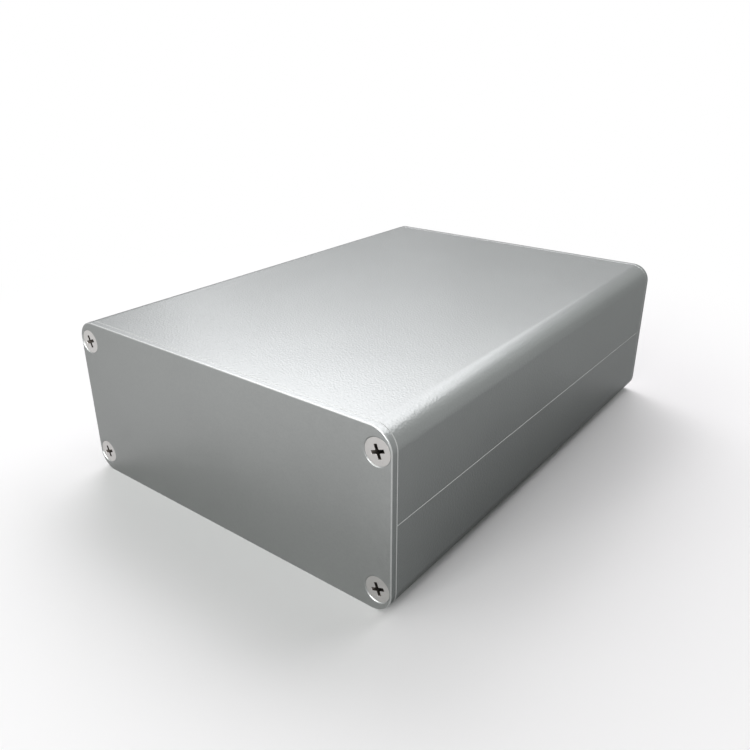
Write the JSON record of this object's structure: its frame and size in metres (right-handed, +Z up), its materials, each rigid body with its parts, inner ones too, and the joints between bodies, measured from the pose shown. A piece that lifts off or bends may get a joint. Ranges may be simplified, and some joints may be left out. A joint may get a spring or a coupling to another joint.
{
  "type": "extruded aluminium enclosure",
  "caption": "Split extruded aluminium enclosure: interlocking half shells with screw channels and card rails inside, closed by flat end plates with countersunk screws.",
  "frame": {"origin": "middle of the underside, on the surface the enclosure stands on", "axes": "+Y runs along the extrusion from the front plate to the rear plate, +Z is up through the upper shell, +X is to the right as seen from the front plate"},
  "size_m": [0.088, 0.122, 0.038],
  "materials": {
    "anodised_extrusion": "bead blasted, clear anodised",
    "anodised_plate": "bead blasted, clear anodised",
    "plated_screw": "nickel plated, satin"
  },
  "bodies": {
    "root": {"lower_shell": "anodised_extrusion", "upper_shell": "anodised_extrusion", "front_plate": "anodised_plate", "rear_plate": "anodised_plate", "front_plate_screws": "plated_screw", "rear_plate_screws": "plated_screw"}
  },
  "joints": []
}
